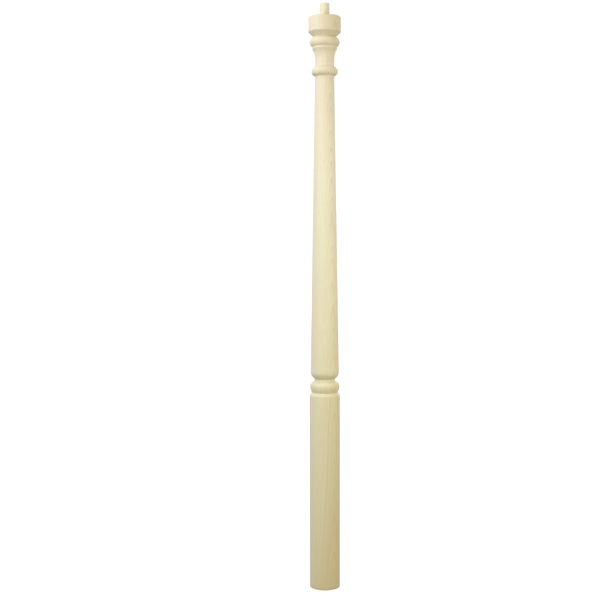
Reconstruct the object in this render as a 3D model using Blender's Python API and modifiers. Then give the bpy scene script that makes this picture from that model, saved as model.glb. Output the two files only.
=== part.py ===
"""Turned wooden newel post, with a pin on its cap for the handrail fitting.

The post is one length of softwood turned between centres. Its axis is Z, its foot stands on Z = 0
and the origin is the centre of the foot. Units are metres.
"""

import math

import bpy

# Base: a plain cylinder with its foot eased.
BASE_RADIUS = 0.0380
BASE_LENGTH = 0.4899
FOOT_CHAMFER = 0.0006

# Shoulder that slopes in from the base to the crease under the lower bead.
SHOULDER_DEPTH = 0.0060
SHOULDER_HEIGHT = 0.0061

# Lower bead, from the crease out to its widest line and in again to a narrow neck.
LOWER_BEAD_PROUD = 0.0048
LOWER_BEAD_BELOW = 0.0160
LOWER_BEAD_ABOVE = 0.0123
LOWER_NECK_RADIUS = 0.0258
LOWER_NECK_HEIGHT = 0.0066

# Shaft: a rounded lower end and a long straight taper.
SHAFT_END_HEIGHT = 0.0170
SHAFT_BOTTOM_RADIUS = 0.0353
SHAFT_TOP_RADIUS = 0.0238
SHAFT_TAPER_LENGTH = 0.7274

# Upper bead, with a small cove under it.
SMALL_COVE_DEPTH = 0.0010
SMALL_COVE_HEIGHT = 0.0074
UPPER_BEAD_PROUD = 0.0080
UPPER_BEAD_BELOW = 0.0112
UPPER_BEAD_ABOVE = 0.0115

# Upper neck, and the large cove that opens out to a fillet.
UPPER_NECK_RADIUS = 0.0238
UPPER_NECK_HEIGHT = 0.0191
COVE_DEPTH = 0.0073
COVE_HEIGHT = 0.0245
FILLET_HEIGHT = 0.0049

# Torus on the fillet, and the short neck between it and the cap.
TORUS_PROUD = 0.0058
TORUS_BELOW = 0.0114
TORUS_ABOVE = 0.0116
CAP_NECK_RADIUS = 0.0290
CAP_NECK_HEIGHT = 0.0024

# Cap: a sloping underside, a lower rim that is eased, a plain band and a rounded top edge.
CAP_RADIUS = 0.0403
CAP_SLOPE_HEIGHT = 0.0096
CAP_EASE_DEPTH = 0.0012
CAP_EASE_HEIGHT = 0.0028
CAP_BAND_HEIGHT = 0.0313
CAP_EDGE_ROUND = 0.0046

# Pin on the cap, turned to fit a bored fitting.
PIN_RADIUS = 0.0119
PIN_LENGTH = 0.0324
PIN_CHAMFER = 0.0010

# Fineness of the turned surface.
SIDES = 64
STEPS_PER_CURVE = 5
SHARP_EDGE_ANGLE = math.radians(28)
MERGE_DISTANCE = 0.00001

# Bare planed softwood.
WOOD_COLOUR = (0.72, 0.63, 0.43, 1.0)
WOOD_ROUGHNESS = 0.60


class Section:
    """Half section of a turned piece, drawn upwards as (radius, height) points."""

    def __init__(self):
        self.points = [(0.0, 0.0)]

    def line(self, radius, rise):
        """Straight cut to a radius, ending this much higher."""
        height = self.points[-1][1] + rise
        self.points.append((radius, height))

    def swell(self, depth, rise):
        """Curve that swells by a depth and is parallel to the axis at its upper end."""
        radius, height = self.points[-1]
        offsets = arc_offsets(depth, rise)
        for inward, below in reversed(offsets[:-1]):
            self.points.append((radius + depth - inward, height + rise - below))
        self.points.append((radius + depth, height + rise))

    def turn_to(self, radius, rise):
        """Curve to a radius that is parallel to the axis at its lower end."""
        start, height = self.points[-1]
        side = math.copysign(1.0, radius - start)
        for sideways, above in arc_offsets(abs(radius - start), rise):
            self.points.append((start + side * sideways, height + above))


def arc_offsets(depth, rise):
    """Offsets (across, along) from the end of an arc that is parallel to the axis.

    The arc is circular while it is less than a quarter turn, and otherwise a quarter of an ellipse.
    """
    turn = min(2.0 * math.atan2(depth, rise), math.pi / 2)
    offsets = []
    for step in range(1, STEPS_PER_CURVE + 1):
        angle = turn * step / STEPS_PER_CURVE
        across = depth * (1.0 - math.cos(angle)) / (1.0 - math.cos(turn))
        along = rise * math.sin(angle) / math.sin(turn)
        offsets.append((across, along))
    return offsets


def draw_base(section):
    """Foot, base cylinder and shoulder."""
    section.line(BASE_RADIUS - FOOT_CHAMFER, 0.0)
    section.line(BASE_RADIUS, FOOT_CHAMFER)
    section.line(BASE_RADIUS, BASE_LENGTH - FOOT_CHAMFER)
    section.line(BASE_RADIUS - SHOULDER_DEPTH, SHOULDER_HEIGHT)


def draw_lower_bead(section):
    """Bead above the base, and the neck over it."""
    section.swell(LOWER_BEAD_PROUD, LOWER_BEAD_BELOW)
    section.turn_to(LOWER_NECK_RADIUS, LOWER_BEAD_ABOVE)
    section.line(LOWER_NECK_RADIUS, LOWER_NECK_HEIGHT)


def draw_shaft(section):
    """Rounded lower end and long taper."""
    section.swell(SHAFT_BOTTOM_RADIUS - LOWER_NECK_RADIUS, SHAFT_END_HEIGHT)
    section.line(SHAFT_TOP_RADIUS, SHAFT_TAPER_LENGTH)


def draw_upper_bead(section):
    """Small cove, upper bead and the neck over it."""
    section.turn_to(SHAFT_TOP_RADIUS + SMALL_COVE_DEPTH, SMALL_COVE_HEIGHT)
    section.swell(UPPER_BEAD_PROUD, UPPER_BEAD_BELOW)
    section.turn_to(UPPER_NECK_RADIUS, UPPER_BEAD_ABOVE)
    section.line(UPPER_NECK_RADIUS, UPPER_NECK_HEIGHT)


def draw_cove_and_torus(section):
    """Large cove, its fillet and the torus under the cap."""
    fillet_radius = UPPER_NECK_RADIUS + COVE_DEPTH
    section.turn_to(fillet_radius, COVE_HEIGHT)
    section.line(fillet_radius, FILLET_HEIGHT)
    section.swell(TORUS_PROUD, TORUS_BELOW)
    section.turn_to(CAP_NECK_RADIUS, TORUS_ABOVE)
    section.line(CAP_NECK_RADIUS, CAP_NECK_HEIGHT)


def draw_cap_and_pin(section):
    """Cap with its flat seat, the pin on it and the closing line to the axis."""
    section.line(CAP_RADIUS - CAP_EASE_DEPTH, CAP_SLOPE_HEIGHT)
    section.swell(CAP_EASE_DEPTH, CAP_EASE_HEIGHT)
    section.line(CAP_RADIUS, CAP_BAND_HEIGHT)
    section.turn_to(CAP_RADIUS - CAP_EDGE_ROUND, CAP_EDGE_ROUND)
    section.line(PIN_RADIUS, 0.0)
    section.line(PIN_RADIUS, PIN_LENGTH - PIN_CHAMFER)
    section.line(PIN_RADIUS - PIN_CHAMFER, PIN_CHAMFER)
    section.line(0.0, 0.0)


def clear_scene():
    for old in list(bpy.data.objects):
        bpy.data.objects.remove(old, do_unlink=True)


def wood_material():
    material = bpy.data.materials.new("pine")
    material.use_nodes = True
    shader = material.node_tree.nodes["Principled BSDF"]
    shader.inputs["Base Color"].default_value = WOOD_COLOUR
    shader.inputs["Roughness"].default_value = WOOD_ROUGHNESS
    shader.inputs["Metallic"].default_value = 0.0
    return material


def turned_object(name, section, material, collection):
    """Turn a section about Z. The section is laid along +X and runs from its top down."""
    profile = [(radius, 0.0, height) for radius, height in reversed(section.points)]
    edges = [(index, index + 1) for index in range(len(profile) - 1)]
    mesh = bpy.data.meshes.new(name)
    mesh.from_pydata(profile, edges, [])
    mesh.materials.append(material)
    turned = bpy.data.objects.new(name, mesh)
    collection.objects.link(turned)
    screw = turned.modifiers.new("Turning", "SCREW")
    screw.axis = "Z"
    screw.angle = 2.0 * math.pi
    screw.screw_offset = 0.0
    screw.steps = SIDES
    screw.render_steps = SIDES
    screw.use_merge_vertices = True
    screw.merge_threshold = MERGE_DISTANCE
    evaluated = turned.evaluated_get(bpy.context.evaluated_depsgraph_get())
    solid = bpy.data.meshes.new_from_object(evaluated)
    turned.modifiers.clear()
    turned.data = solid
    solid.shade_smooth()
    solid.set_sharp_from_angle(angle=SHARP_EDGE_ANGLE)


def build_newel_post():
    clear_scene()
    collection = bpy.data.collections.new("newel_post")
    bpy.context.scene.collection.children.link(collection)
    section = Section()
    draw_base(section)
    draw_lower_bead(section)
    draw_shaft(section)
    draw_upper_bead(section)
    draw_cove_and_torus(section)
    draw_cap_and_pin(section)
    turned_object("newel_post", section, wood_material(), collection)


build_newel_post()
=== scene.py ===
import math

import bpy
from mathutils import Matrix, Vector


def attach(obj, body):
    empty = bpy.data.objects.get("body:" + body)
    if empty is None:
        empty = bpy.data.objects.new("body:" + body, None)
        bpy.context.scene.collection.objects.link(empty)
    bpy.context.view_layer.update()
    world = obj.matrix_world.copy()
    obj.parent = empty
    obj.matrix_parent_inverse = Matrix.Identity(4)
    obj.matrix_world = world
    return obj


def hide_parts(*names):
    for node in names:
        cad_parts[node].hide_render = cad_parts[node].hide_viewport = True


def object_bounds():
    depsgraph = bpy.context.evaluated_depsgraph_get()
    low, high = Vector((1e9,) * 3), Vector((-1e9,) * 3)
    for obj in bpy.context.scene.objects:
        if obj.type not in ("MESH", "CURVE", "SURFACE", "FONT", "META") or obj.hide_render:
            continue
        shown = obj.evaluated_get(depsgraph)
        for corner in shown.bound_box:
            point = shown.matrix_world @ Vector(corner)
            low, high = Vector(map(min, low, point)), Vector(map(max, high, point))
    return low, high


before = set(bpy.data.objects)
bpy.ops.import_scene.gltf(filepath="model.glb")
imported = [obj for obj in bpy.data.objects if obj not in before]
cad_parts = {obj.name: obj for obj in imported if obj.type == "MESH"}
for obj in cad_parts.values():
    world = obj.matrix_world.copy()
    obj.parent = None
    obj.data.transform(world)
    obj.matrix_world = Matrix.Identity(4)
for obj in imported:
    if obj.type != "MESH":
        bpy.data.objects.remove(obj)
solid_low, solid_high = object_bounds()
bpy.ops.object.select_all(action="DESELECT")


# The foot and base. The whole post is one length of pine turned between centres, and the base is
# its thickest plain part. The cuts follow one another from the foot up, each from the open rim
# that the last one left.
SIDES = 128
LONGEST_CUT = 0.008
STEPS_PER_CURVE = 12

BASE_RADIUS = 0.0380
BASE_LENGTH = 0.4899
SHOULDER_DEPTH = 0.0060
SHOULDER_HEIGHT = 0.0061

rim_radius = BASE_RADIUS


def cut_once(radius, rise):
    """Draw the open rim up by rise and bring it to a radius."""
    global rim_radius
    bpy.ops.mesh.extrude_region_move(TRANSFORM_OT_translate={"value": (0.0, 0.0, rise)})
    scale = radius / rim_radius
    bpy.ops.transform.resize(value=(scale, scale, 1.0))
    rim_radius = radius


def cut_to(radius, rise):
    """Straight cut, made in short lengths."""
    start = rim_radius
    lengths = math.ceil(math.hypot(radius - start, rise) / LONGEST_CUT)
    for length in range(1, lengths + 1):
        cut_once(start + (radius - start) * length / lengths, rise / lengths)


def arc_offsets(depth, rise):
    """Offsets (across, along) from the end of an arc that is parallel to the axis.

    The arc is circular while it is less than a quarter turn, and otherwise a quarter of an ellipse.
    """
    turn = min(2.0 * math.atan2(depth, rise), math.pi / 2)
    offsets = [(0.0, 0.0)]
    for step in range(1, STEPS_PER_CURVE + 1):
        angle = turn * step / STEPS_PER_CURVE
        across = depth * (1.0 - math.cos(angle)) / (1.0 - math.cos(turn))
        along = rise * math.sin(angle) / math.sin(turn)
        offsets.append((across, along))
    return offsets


def swell(depth, rise):
    """Curve that swells by a depth and is parallel to the axis at its upper end."""
    widest = rim_radius + depth
    offsets = arc_offsets(depth, rise)[::-1]
    for (_, below), (inward, left) in zip(offsets, offsets[1:]):
        cut_once(widest - inward, below - left)


def turn_to(radius, rise):
    """Curve to a radius that is parallel to the axis at its lower end."""
    start = rim_radius
    side = math.copysign(1.0, radius - start)
    offsets = arc_offsets(abs(radius - start), rise)
    for (_, below), (across, above) in zip(offsets, offsets[1:]):
        cut_once(start + side * across, above - below)


bpy.ops.mesh.primitive_circle_add(vertices=SIDES, radius=BASE_RADIUS, fill_type="NGON")
post = bpy.context.object
post.name = "turned_post"
bpy.ops.object.mode_set(mode="EDIT")
bpy.ops.mesh.select_mode(type="EDGE")
bpy.ops.mesh.select_all(action="DESELECT")
bpy.ops.mesh.select_non_manifold()
cut_to(BASE_RADIUS, BASE_LENGTH)
cut_to(BASE_RADIUS - SHOULDER_DEPTH, SHOULDER_HEIGHT)


# The lower bead stands on the crease over the shoulder. It is long and flat below its widest line
# and round above it, and a narrow neck parts it from the shaft.
LOWER_BEAD_PROUD = 0.0048
LOWER_BEAD_BELOW = 0.0160
LOWER_BEAD_ABOVE = 0.0123
LOWER_NECK_RADIUS = 0.0258
LOWER_NECK_HEIGHT = 0.0066

swell(LOWER_BEAD_PROUD, LOWER_BEAD_BELOW)
turn_to(LOWER_NECK_RADIUS, LOWER_BEAD_ABOVE)
cut_to(LOWER_NECK_RADIUS, LOWER_NECK_HEIGHT)


# The shaft is half of the post's length. Its lower end is rounded like a cup and the rest is one
# straight taper, planed along the lathe's bed.
SHAFT_END_HEIGHT = 0.0170
SHAFT_BOTTOM_RADIUS = 0.0353
SHAFT_TOP_RADIUS = 0.0238
SHAFT_TAPER_LENGTH = 0.7274

swell(SHAFT_BOTTOM_RADIUS - LOWER_NECK_RADIUS, SHAFT_END_HEIGHT)
cut_to(SHAFT_TOP_RADIUS, SHAFT_TAPER_LENGTH)


# The upper bead is a half round that grows out of the shaft through a small cove. A plain neck
# follows it.
SMALL_COVE_DEPTH = 0.0010
SMALL_COVE_HEIGHT = 0.0074
UPPER_BEAD_PROUD = 0.0080
UPPER_BEAD_BELOW = 0.0112
UPPER_BEAD_ABOVE = 0.0115
UPPER_NECK_RADIUS = 0.0238
UPPER_NECK_HEIGHT = 0.0191

turn_to(SHAFT_TOP_RADIUS + SMALL_COVE_DEPTH, SMALL_COVE_HEIGHT)
swell(UPPER_BEAD_PROUD, UPPER_BEAD_BELOW)
turn_to(UPPER_NECK_RADIUS, UPPER_BEAD_ABOVE)
cut_to(UPPER_NECK_RADIUS, UPPER_NECK_HEIGHT)


# The large cove opens out to a fillet, and the torus sits on it. They are the capital of the post.
# The point of a chisel has cut the short neck over them in to a small V, which shows as a dark
# crease.
COVE_DEPTH = 0.0073
COVE_HEIGHT = 0.0245
FILLET_HEIGHT = 0.0049
TORUS_PROUD = 0.0058
TORUS_BELOW = 0.0114
TORUS_ABOVE = 0.0116
CAP_NECK_RADIUS = 0.0290
CAP_NECK_HEIGHT = 0.0024
CREASE_DEPTH = 0.0017

turn_to(UPPER_NECK_RADIUS + COVE_DEPTH, COVE_HEIGHT)
cut_to(UPPER_NECK_RADIUS + COVE_DEPTH, FILLET_HEIGHT)
swell(TORUS_PROUD, TORUS_BELOW)
turn_to(CAP_NECK_RADIUS, TORUS_ABOVE)
cut_to(CAP_NECK_RADIUS - CREASE_DEPTH, CAP_NECK_HEIGHT / 2.0)
cut_to(CAP_NECK_RADIUS, CAP_NECK_HEIGHT / 2.0)


# The cap carries the handrail fitting on its flat top. Its underside slopes out to an eased rim,
# its band is plain and its top edge is rounded.
CAP_RADIUS = 0.0403
CAP_SLOPE_HEIGHT = 0.0096
CAP_EASE_DEPTH = 0.0012
CAP_EASE_HEIGHT = 0.0028
CAP_BAND_HEIGHT = 0.0313
CAP_EDGE_ROUND = 0.0046

cut_to(CAP_RADIUS - CAP_EASE_DEPTH, CAP_SLOPE_HEIGHT)
swell(CAP_EASE_DEPTH, CAP_EASE_HEIGHT)
cut_to(CAP_RADIUS, CAP_BAND_HEIGHT)
turn_to(CAP_RADIUS - CAP_EDGE_ROUND, CAP_EDGE_ROUND)


# The pin on the cap is turned from the same wood and fits the bored fitting. Its end is chamfered
# and sawn off square.
PIN_RADIUS = 0.0119
PIN_CHAMFER = 0.0010
PIN_TOP = solid_high.z
PIN_LENGTH = 0.0324

cut_to(PIN_RADIUS, 0.0)
cut_to(PIN_RADIUS, PIN_LENGTH - PIN_CHAMFER)
cut_to(PIN_RADIUS - PIN_CHAMFER, PIN_CHAMFER)
bpy.ops.mesh.edge_face_add()


# Sanding on the lathe takes the sharpness off every arris, and cleans up every quirk to a small
# round.
ARRIS_ANGLE = math.radians(22)
ARRIS_EASE = 0.0005
ARRIS_STEPS = 3

bpy.ops.mesh.select_all(action="SELECT")
bpy.ops.mesh.normals_make_consistent(inside=False)
bpy.ops.mesh.select_all(action="DESELECT")
bpy.ops.mesh.edges_select_sharp(sharpness=ARRIS_ANGLE)
bpy.ops.mesh.bevel(offset=ARRIS_EASE, segments=ARRIS_STEPS, affect="EDGES", clamp_overlap=True)


# The wood. The post is one billet of pine from beside the pith of a trunk, so the yearly rings are
# lines on most of it, arches where its faces meet them flat, and arcs on its two sawn ends. Both
# finishes below are made on this same wood.
WANDER_SCALE = (11.0, 11.0, 4.5)
UNEVEN_SCALE = 0.45
UNEVEN_YEARS = 1.6
LATEWOOD_STARTS = 0.45
LATEWOOD_FULL = 0.94
LATEWOOD_STOPS = 0.95
FAINTEST_YEAR = 0.45
HEART_TURN_HEIGHTS = (1.0, 1.4)
FIBRE_SCALE = (2600.0, 2600.0, 55.0)
STREAK_SCALE = (420.0, 420.0, 7.0)
CANAL_SCALE = (2400.0, 2400.0, 170.0)
CANAL_EDGES = (0.77, 0.82)


def new_node(tree, kind, **settings):
    """Node of a kind, with its plain settings."""
    node = tree.nodes.new(kind)
    for name, value in settings.items():
        setattr(node, name, value)
    return node


def feed(tree, socket, value):
    """Give a socket a number, a colour or the output of another node."""
    if isinstance(value, bpy.types.NodeSocket):
        tree.links.new(value, socket)
    else:
        socket.default_value = value


def maths(tree, operation, *values):
    """Output of a Math node on these values."""
    node = new_node(tree, "ShaderNodeMath", operation=operation)
    for socket, value in zip(node.inputs, values):
        feed(tree, socket, value)
    return node.outputs["Value"]


def vector_maths(tree, operation, first, second):
    """Output of a Vector Math node on two vectors."""
    node = new_node(tree, "ShaderNodeVectorMath", operation=operation)
    feed(tree, node.inputs[0], first)
    feed(tree, node.inputs[1], second)
    return node.outputs["Vector"]


def noise(tree, vector, scale, detail, roughness=0.5):
    """Noise Texture whose features are as small as the three scales say, in each direction."""
    node = new_node(tree, "ShaderNodeTexNoise", noise_dimensions="3D")
    feed(tree, node.inputs["Vector"], vector_maths(tree, "MULTIPLY", vector, scale))
    node.inputs["Scale"].default_value = 1.0
    node.inputs["Detail"].default_value = detail
    node.inputs["Roughness"].default_value = roughness
    return node


def smooth_step(tree, value, start, end, low=0.0, high=1.0):
    """Value mapped smoothly from one range to another."""
    node = new_node(tree, "ShaderNodeMapRange", interpolation_type="SMOOTHSTEP")
    for name, number in zip(
        ("Value", "From Min", "From Max", "To Min", "To Max"), (value, start, end, low, high)
    ):
        feed(tree, node.inputs[name], number)
    return node.outputs["Result"]


def blend(tree, amount, first, second, mode="MIX"):
    """Output of a colour Mix node."""
    node = new_node(tree, "ShaderNodeMix", data_type="RGBA", blend_type=mode, clamp_result=False)
    feed(tree, node.inputs["Factor"], amount)
    feed(tree, node.inputs["A"], first)
    feed(tree, node.inputs["B"], second)
    return node.outputs["Result"]


def toned(tree, colour, tone):
    """Colour made lighter or darker by one number."""
    shade = new_node(tree, "ShaderNodeCombineColor")
    for channel in ("Red", "Green", "Blue"):
        feed(tree, shade.inputs[channel], tone)
    return blend(tree, 1.0, colour, shade.outputs["Color"], "MULTIPLY")


def axis_parts(tree, vector):
    """The X, Y and Z of a vector, by name."""
    node = new_node(tree, "ShaderNodeSeparateXYZ")
    feed(tree, node.inputs["Vector"], vector)
    return node.outputs


def roughen(tree, height, strength, distance):
    """Fine relief on the material's own shader."""
    bump = new_node(tree, "ShaderNodeBump")
    bump.inputs["Strength"].default_value = strength
    bump.inputs["Distance"].default_value = distance
    feed(tree, bump.inputs["Height"], height)
    feed(tree, tree.nodes["Principled BSDF"].inputs["Normal"], bump.outputs["Normal"])


def new_group(name, takes, gives):
    """Node group with named sockets. Gives the group and its two end nodes."""
    group = bpy.data.node_groups.new(name, "ShaderNodeTree")
    for label, kind in takes.items():
        group.interface.new_socket(name=label, in_out="INPUT", socket_type=kind)
    for label, kind in gives.items():
        group.interface.new_socket(name=label, in_out="OUTPUT", socket_type=kind)
    return group, new_node(group, "NodeGroupInput"), new_node(group, "NodeGroupOutput")


def growth_rings_group():
    """Yearly rings of the trunk. The pith lies beside the post, so that one side shows arches.

    Sapwood says how far a place is from the heart of the trunk, from 0 to 1. The heart narrows up
    the trunk, partly as painted shade that darkens the foot, and comes nearer again towards the cap.
    """
    group, taken, given = new_group(
        "Growth rings",
        {
            "Position": "NodeSocketVector",
            "Pith X": "NodeSocketFloat",
            "Pith Y": "NodeSocketFloat",
            "Ring Width": "NodeSocketFloat",
            "Waviness": "NodeSocketFloat",
            "Trunk Taper": "NodeSocketFloat",
            "Heart Edge": "NodeSocketFloat",
            "Sap Edge": "NodeSocketFloat",
            "Heart Taper And Painted Shade": "NodeSocketFloat",
            "Heart Turns Back": "NodeSocketFloat",
        },
        {"Latewood": "NodeSocketFloat", "Ring Tone": "NodeSocketFloat", "Sapwood": "NodeSocketFloat"},
    )
    position = taken.outputs["Position"]
    wander = noise(group, position, WANDER_SCALE, detail=2.0)
    centred = vector_maths(group, "SUBTRACT", wander.outputs["Color"], (0.5, 0.5, 0.5))
    waviness = new_node(group, "ShaderNodeCombineXYZ")
    for axis in "XYZ":
        feed(group, waviness.inputs[axis], taken.outputs["Waviness"])
    wavy = vector_maths(group, "MULTIPLY", centred, waviness.outputs["Vector"])
    place = axis_parts(group, vector_maths(group, "ADD", position, wavy))
    across = maths(group, "SUBTRACT", place["X"], taken.outputs["Pith X"])
    along = maths(group, "SUBTRACT", place["Y"], taken.outputs["Pith Y"])
    squares = maths(group, "ADD", maths(group, "POWER", across, 2.0), maths(group, "POWER", along, 2.0))
    lean = maths(group, "MULTIPLY", place["Z"], taken.outputs["Trunk Taper"])
    distance = maths(group, "ADD", maths(group, "SQRT", squares), lean)
    years = maths(group, "DIVIDE", distance, taken.outputs["Ring Width"])
    uneven = new_node(group, "ShaderNodeTexNoise", noise_dimensions="1D")
    feed(group, uneven.inputs["W"], years)
    uneven.inputs["Scale"].default_value = UNEVEN_SCALE
    uneven.inputs["Detail"].default_value = 1.0
    age = maths(group, "ADD", years, maths(group, "MULTIPLY", uneven.outputs["Fac"], UNEVEN_YEARS))
    season = maths(group, "FRACT", age)
    rise = smooth_step(group, season, LATEWOOD_STARTS, LATEWOOD_FULL)
    fall = smooth_step(group, season, LATEWOOD_STOPS, 1.0, low=1.0, high=0.0)
    year = new_node(group, "ShaderNodeTexWhiteNoise", noise_dimensions="1D")
    feed(group, year.inputs["W"], maths(group, "FLOOR", age))
    strength = maths(group, "MULTIPLY_ADD", year.outputs["Value"], 1.0 - FAINTEST_YEAR, FAINTEST_YEAR)
    latewood = maths(group, "MULTIPLY", maths(group, "MULTIPLY", rise, fall), strength)
    feed(group, given.inputs["Latewood"], latewood)
    feed(group, given.inputs["Ring Tone"], year.outputs["Value"])
    # Painted shade in part: the heart widens towards the foot, so the wood colour darkens towards the
    # bottom.
    heart_taper_shade = maths(group, "MULTIPLY", place["Z"], taken.outputs["Heart Taper And Painted Shade"])
    turns_back = taken.outputs["Heart Turns Back"]
    nearer = smooth_step(group, place["Z"], *HEART_TURN_HEIGHTS, high=turns_back)
    from_heart = maths(group, "ADD", distance, maths(group, "SUBTRACT", heart_taper_shade, nearer))
    outwards = new_node(group, "ShaderNodeMapRange")
    feed(group, outwards.inputs["Value"], from_heart)
    feed(group, outwards.inputs["From Min"], taken.outputs["Heart Edge"])
    feed(group, outwards.inputs["From Max"], taken.outputs["Sap Edge"])
    feed(group, given.inputs["Sapwood"], outwards.outputs["Result"])
    return group


def wood_fibres_group():
    """Fibres along the trunk, and the few dark resin canals between them."""
    group, taken, given = new_group(
        "Wood fibres",
        {"Position": "NodeSocketVector"},
        {"Fibre": "NodeSocketFloat", "Streak": "NodeSocketFloat", "Resin": "NodeSocketFloat"},
    )
    position = taken.outputs["Position"]
    fibre = noise(group, position, FIBRE_SCALE, detail=2.0, roughness=0.6)
    streak = noise(group, position, STREAK_SCALE, detail=3.0, roughness=0.6)
    resin = noise(group, position, CANAL_SCALE, detail=0.0)
    feed(group, given.inputs["Fibre"], fibre.outputs["Fac"])
    feed(group, given.inputs["Streak"], streak.outputs["Fac"])
    feed(group, given.inputs["Resin"], smooth_step(group, resin.outputs["Fac"], *CANAL_EDGES))
    return group


TRUNK = {
    "Pith X": 0.057,
    "Pith Y": -0.077,
    "Ring Width": 0.0025,
    "Waviness": 0.0120,
    "Trunk Taper": 0.035,
    "Heart Edge": 0.065,
    "Sap Edge": 0.140,
    # The heart taper is partly painted shade: it puts more of the darker heartwood colour at the foot.
    "Heart Taper And Painted Shade": 0.016,
    "Heart Turns Back": 0.035,
}

rings_group = growth_rings_group()
fibres_group = wood_fibres_group()


def start_wood(name):
    """New wood material with its rings and fibres placed. Gives all that the finish needs."""
    material = bpy.data.materials.new(name)
    material.use_nodes = True
    tree = material.node_tree
    place = new_node(tree, "ShaderNodeTexCoord").outputs["Object"]
    rings = new_node(tree, "ShaderNodeGroup", node_tree=rings_group)
    feed(tree, rings.inputs["Position"], place)
    for label, value in TRUNK.items():
        rings.inputs[label].default_value = value
    fibres = new_node(tree, "ShaderNodeGroup", node_tree=fibres_group)
    feed(tree, fibres.inputs["Position"], place)
    return material, tree, place, rings.outputs, fibres.outputs


# The turned faces are sanded and bare. Pine is cream in the sapwood, deeper and yellower towards the
# heart, tan in the rings, a little green low down and rosier towards the cap. The deeper heart colour
# reaches further towards the foot, partly as painted shade. Where the cut slopes across the fibres
# it is slightly darker.
SAPWOOD = (0.760, 0.715, 0.525, 1.0)
HEARTWOOD = (0.610, 0.514, 0.271, 1.0)
ROSY_TINT = (1.012, 0.984, 0.980, 1.0)
GREEN_TINT = (0.984, 1.006, 0.975, 1.0)
LATE_WOOD = (0.560, 0.415, 0.200, 1.0)
RESIN_COLOUR = (0.330, 0.190, 0.080, 1.0)
TINT_SCALE = (16.0, 16.0, 3.0)
TINT_EDGES = (0.35, 0.65)
ROSIER_HEIGHTS = (1.05, 1.4)
ROSIER_SHIFTS = (-0.05, 0.25)
RING_SHARE = 0.46
CANAL_SHARE = 0.5
GRAIN_EDGES = (0.3, 0.7)
STREAK_TONES = (0.982, 1.014)
FIBRE_TONES = (0.97, 1.022)
YEAR_TONES = (0.988, 1.012)
SLOPE_SHARPNESS = 4.0
SLOPE_DARKENS = 0.07
EARLY_ROUGHNESS = 0.62
LATE_ROUGHNESS = 0.48
LATHE_LINE_SCALE = (30.0, 30.0, 2400.0)
LATHE_LINE_SHARE = 0.6
RING_RELIEF_SHARE = 0.5
TURNED_BUMP = 0.35
TURNED_RELIEF = 0.00008


def turned_wood():
    material, tree, place, rings, fibres = start_wood("turned_pine")
    shader = tree.nodes["Principled BSDF"]
    trunk = blend(tree, rings["Sapwood"], HEARTWOOD, SAPWOOD)
    drift = noise(tree, place, TINT_SCALE, detail=2.0)
    height = axis_parts(tree, place)["Z"]
    rosier = smooth_step(tree, height, *ROSIER_HEIGHTS, *ROSIER_SHIFTS)
    rosy = smooth_step(tree, maths(tree, "ADD", drift.outputs["Fac"], rosier), *TINT_EDGES)
    tinted = blend(tree, 1.0, trunk, blend(tree, rosy, GREEN_TINT, ROSY_TINT), "MULTIPLY")
    ringed = blend(tree, maths(tree, "MULTIPLY", rings["Latewood"], RING_SHARE), tinted, LATE_WOOD)
    streak = smooth_step(tree, fibres["Streak"], *GRAIN_EDGES, *STREAK_TONES)
    fine = smooth_step(tree, fibres["Fibre"], *GRAIN_EDGES, *FIBRE_TONES)
    year = smooth_step(tree, rings["Ring Tone"], 0.0, 1.0, *YEAR_TONES)
    facing = axis_parts(tree, new_node(tree, "ShaderNodeTexCoord").outputs["Normal"])["Z"]
    slope = maths(tree, "POWER", maths(tree, "ABSOLUTE", facing), SLOPE_SHARPNESS)
    cut_across = maths(tree, "MULTIPLY_ADD", slope, -SLOPE_DARKENS, 1.0)
    grain = maths(tree, "MULTIPLY", streak, fine)
    tone = maths(tree, "MULTIPLY", grain, maths(tree, "MULTIPLY", year, cut_across))
    canals = maths(tree, "MULTIPLY", fibres["Resin"], CANAL_SHARE)
    spotted = blend(tree, canals, toned(tree, ringed, tone), RESIN_COLOUR)
    feed(tree, shader.inputs["Base Color"], spotted)
    roughness = smooth_step(tree, rings["Latewood"], 0.0, 1.0, EARLY_ROUGHNESS, LATE_ROUGHNESS)
    feed(tree, shader.inputs["Roughness"], roughness)
    lathe_lines = noise(tree, place, LATHE_LINE_SCALE, detail=3.0, roughness=0.7)
    raised = maths(tree, "MULTIPLY_ADD", rings["Latewood"], RING_RELIEF_SHARE, fibres["Fibre"])
    relief = maths(tree, "MULTIPLY_ADD", lathe_lines.outputs["Fac"], LATHE_LINE_SHARE, raised)
    roughen(tree, relief, TURNED_BUMP, TURNED_RELIEF)
    return material


# The sawn faces show the rings as arcs. Cut across, the wood drinks light and looks darker, and the
# saw leaves shallow scores.
END_EARLY_WOOD = (0.650, 0.540, 0.340, 1.0)
END_LATE_WOOD = (0.440, 0.290, 0.145, 1.0)
END_RING_SHARE = 0.8
END_PORE_TONES = (0.92, 1.04)
END_ROUGHNESS = 0.8
SCORE_SCALE = (25.0, 900.0, 1.0)
END_BUMP = 0.5
END_RELIEF = 0.00015


def sawn_wood():
    material, tree, place, rings, fibres = start_wood("sawn_pine")
    shader = tree.nodes["Principled BSDF"]
    ring_share = maths(tree, "MULTIPLY", rings["Latewood"], END_RING_SHARE)
    ringed = blend(tree, ring_share, END_EARLY_WOOD, END_LATE_WOOD)
    pores = smooth_step(tree, fibres["Fibre"], *GRAIN_EDGES, *END_PORE_TONES)
    feed(tree, shader.inputs["Base Color"], toned(tree, ringed, pores))
    shader.inputs["Roughness"].default_value = END_ROUGHNESS
    scores = noise(tree, place, SCORE_SCALE, detail=2.0, roughness=0.6)
    roughen(tree, maths(tree, "ADD", scores.outputs["Fac"], fibres["Fibre"]), END_BUMP, END_RELIEF)
    return material


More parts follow.
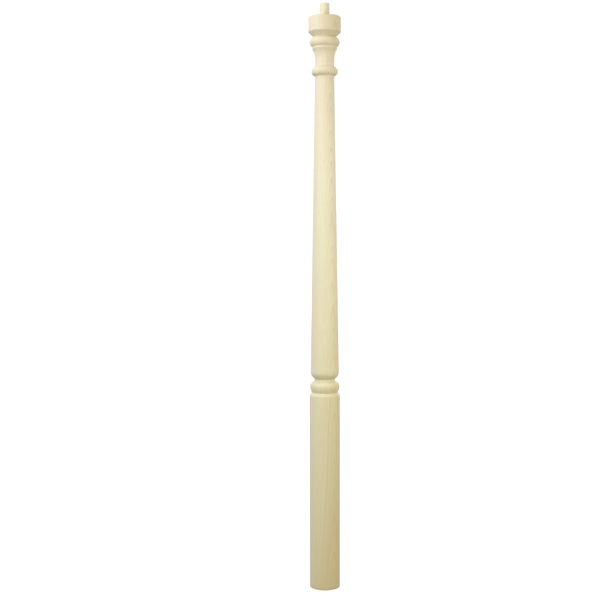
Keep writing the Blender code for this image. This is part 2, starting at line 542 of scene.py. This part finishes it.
# The two ends are sawn square, across the grain, and each keeps the small cone that the lathe's
# centre left in it. With them the post is finished and takes the place of the plain solid.
CENTRE_RADIUS = 0.0016
CENTRE_DEPTH = 0.0018
LEVEL_NORMAL = 0.999
SMOOTH_ANGLE = math.radians(30)


def select_disc(height, facing):
    """Select the one large face at a height that looks up (1) or down (-1)."""
    bpy.ops.mesh.select_mode(type="FACE")
    bpy.ops.mesh.select_all(action="DESELECT")
    bpy.ops.object.mode_set(mode="OBJECT")
    for face in post.data.polygons:
        level = face.normal.z * facing > LEVEL_NORMAL
        face.select = level and len(face.vertices) == SIDES and abs(face.center.z - height) < ARRIS_EASE
    bpy.ops.object.mode_set(mode="EDIT")


def saw_end(height, facing, radius):
    """Give one end its sawn finish and its centre mark."""
    select_disc(height, facing)
    post.active_material_index = 1
    bpy.ops.object.material_slot_assign()
    disc_radius = radius - ARRIS_EASE
    bpy.ops.mesh.inset(thickness=disc_radius / 2.0)
    bpy.ops.mesh.inset(thickness=disc_radius / 2.0 - CENTRE_RADIUS)
    bpy.ops.mesh.extrude_region_move(
        TRANSFORM_OT_translate={"value": (0.0, 0.0, -facing * CENTRE_DEPTH)}
    )
    bpy.ops.mesh.merge(type="CENTER")


post.data.materials.append(turned_wood())
post.data.materials.append(sawn_wood())
saw_end(0.0, -1, BASE_RADIUS)
saw_end(PIN_TOP, 1, PIN_RADIUS - PIN_CHAMFER)
bpy.ops.mesh.select_all(action="SELECT")
bpy.ops.mesh.normals_make_consistent(inside=False)
bpy.ops.object.mode_set(mode="OBJECT")
bpy.ops.object.shade_smooth_by_angle(angle=SMOOTH_ANGLE)
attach(post, "root")
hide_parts("newel_post")


# The studio. The camera sees the floor and the sky as one even white, without a line between them,
# as in the photograph. For the light that falls on the post the floor is a pale grey sheet and the
# sky is softer.
FLOOR_SIZE = 60.0
FLOOR_COLOUR = (0.27, 0.27, 0.27, 1.0)
FLOOR_ROUGHNESS = 0.9
FLOOR_GLOW = 1.04
SKY_LIGHT = 0.73
SKY_SEEN = 1.04
BLACK = (0.0, 0.0, 0.0, 1.0)
WHITE = (1.0, 1.0, 1.0, 1.0)


def seen_by_camera(tree):
    """1 for what the camera sees itself and 0 for the light that falls on other things."""
    return new_node(tree, "ShaderNodeLightPath").outputs["Is Camera Ray"]


bpy.ops.mesh.primitive_plane_add(size=FLOOR_SIZE, location=(0.0, 0.0, 0.0))
floor = bpy.context.object
floor.name = "floor"
paint = bpy.data.materials.new("pale_floor")
paint.use_nodes = True
paint_tree = paint.node_tree
paint_shader = paint_tree.nodes["Principled BSDF"]
paint_shader.inputs["Roughness"].default_value = FLOOR_ROUGHNESS
paint_shader.inputs["Emission Color"].default_value = WHITE
floor_seen = seen_by_camera(paint_tree)
feed(paint_tree, paint_shader.inputs["Base Color"], blend(paint_tree, floor_seen, FLOOR_COLOUR, BLACK))
glow = maths(paint_tree, "MULTIPLY", floor_seen, FLOOR_GLOW)
feed(paint_tree, paint_shader.inputs["Emission Strength"], glow)
floor.data.materials.append(paint)

sky = bpy.data.worlds.new("white_sky")
sky.use_nodes = True
bpy.context.scene.world = sky
sky_tree = sky.node_tree
backdrop = sky_tree.nodes["Background"]
backdrop.inputs["Color"].default_value = WHITE
sky_strength = smooth_step(sky_tree, seen_by_camera(sky_tree), 0.0, 1.0, SKY_LIGHT, SKY_SEEN)
feed(sky_tree, backdrop.inputs["Strength"], sky_strength)


# The lamps are soft boxes that the camera doesn't see. The main one is high on the left and cool,
# one stands at each side in front at half height, the left one warm, and one stands behind.
COOL = (0.97, 1.01, 1.20)
WARM = (1.0, 0.94, 0.76)
NEUTRAL = (1.0, 1.0, 1.0)


def soft_light(name, place, target, size, power, colour):
    """Square soft light at a place, turned to a target and itself out of sight."""
    bpy.ops.object.light_add(type="AREA", location=place)
    lamp = bpy.context.object
    lamp.name = name
    lamp.visible_camera = False
    lamp.data.shape = "SQUARE"
    lamp.data.size = size
    lamp.data.energy = power
    lamp.data.color = colour
    aim = [there - here for here, there in zip(place, target)]
    level = math.hypot(aim[0], aim[1])
    lamp.rotation_euler = (math.atan2(level, -aim[2]), 0.0, math.atan2(-aim[0], aim[1]))


soft_light("key_light", (-1.4, -0.8, 2.2), (0.0, 0.0, 1.3), size=1.0, power=20.5, colour=COOL)
soft_light("right_light", (0.9, -0.9, 0.9), (0.0, 0.0, 0.9), size=0.8, power=9.2, colour=NEUTRAL)
soft_light("left_light", (-0.9, -1.1, 0.9), (0.0, 0.0, 0.95), size=0.8, power=4.5, colour=WARM)
soft_light("back_light", (0.5, 2.4, 1.8), (0.0, 0.0, 0.8), size=1.5, power=25.0, colour=NEUTRAL)


# The camera stands in front of the post, a little above its middle and tipped down slightly, and
# looks past it so that the post is right of centre. The photograph is 600 pixels wide.
PICTURE_WIDTH = 600
FOCAL_PIXELS = 1064.7
CAMERA_DISTANCE = 2.662
CAMERA_HEIGHT = 0.887
CAMERA_TIP = math.radians(3.411)
CAMERA_ROLL = math.radians(0.1)
POST_AXIS_PIXEL = 324.7
SENSOR_WIDTH = 36.0

camera_data = bpy.data.cameras.new("camera")
camera_data.sensor_width = SENSOR_WIDTH
camera_data.lens = FOCAL_PIXELS / PICTURE_WIDTH * SENSOR_WIDTH
camera = bpy.data.objects.new("camera", camera_data)
bpy.context.scene.collection.objects.link(camera)
pan = math.atan((POST_AXIS_PIXEL - PICTURE_WIDTH / 2) / FOCAL_PIXELS)
camera.location = (0.0, -CAMERA_DISTANCE, CAMERA_HEIGHT)
camera.rotation_euler = (math.pi / 2 - CAMERA_TIP, CAMERA_ROLL, pan)
bpy.context.scene.camera = camera
bpy.context.scene.view_settings.view_transform = "Standard"
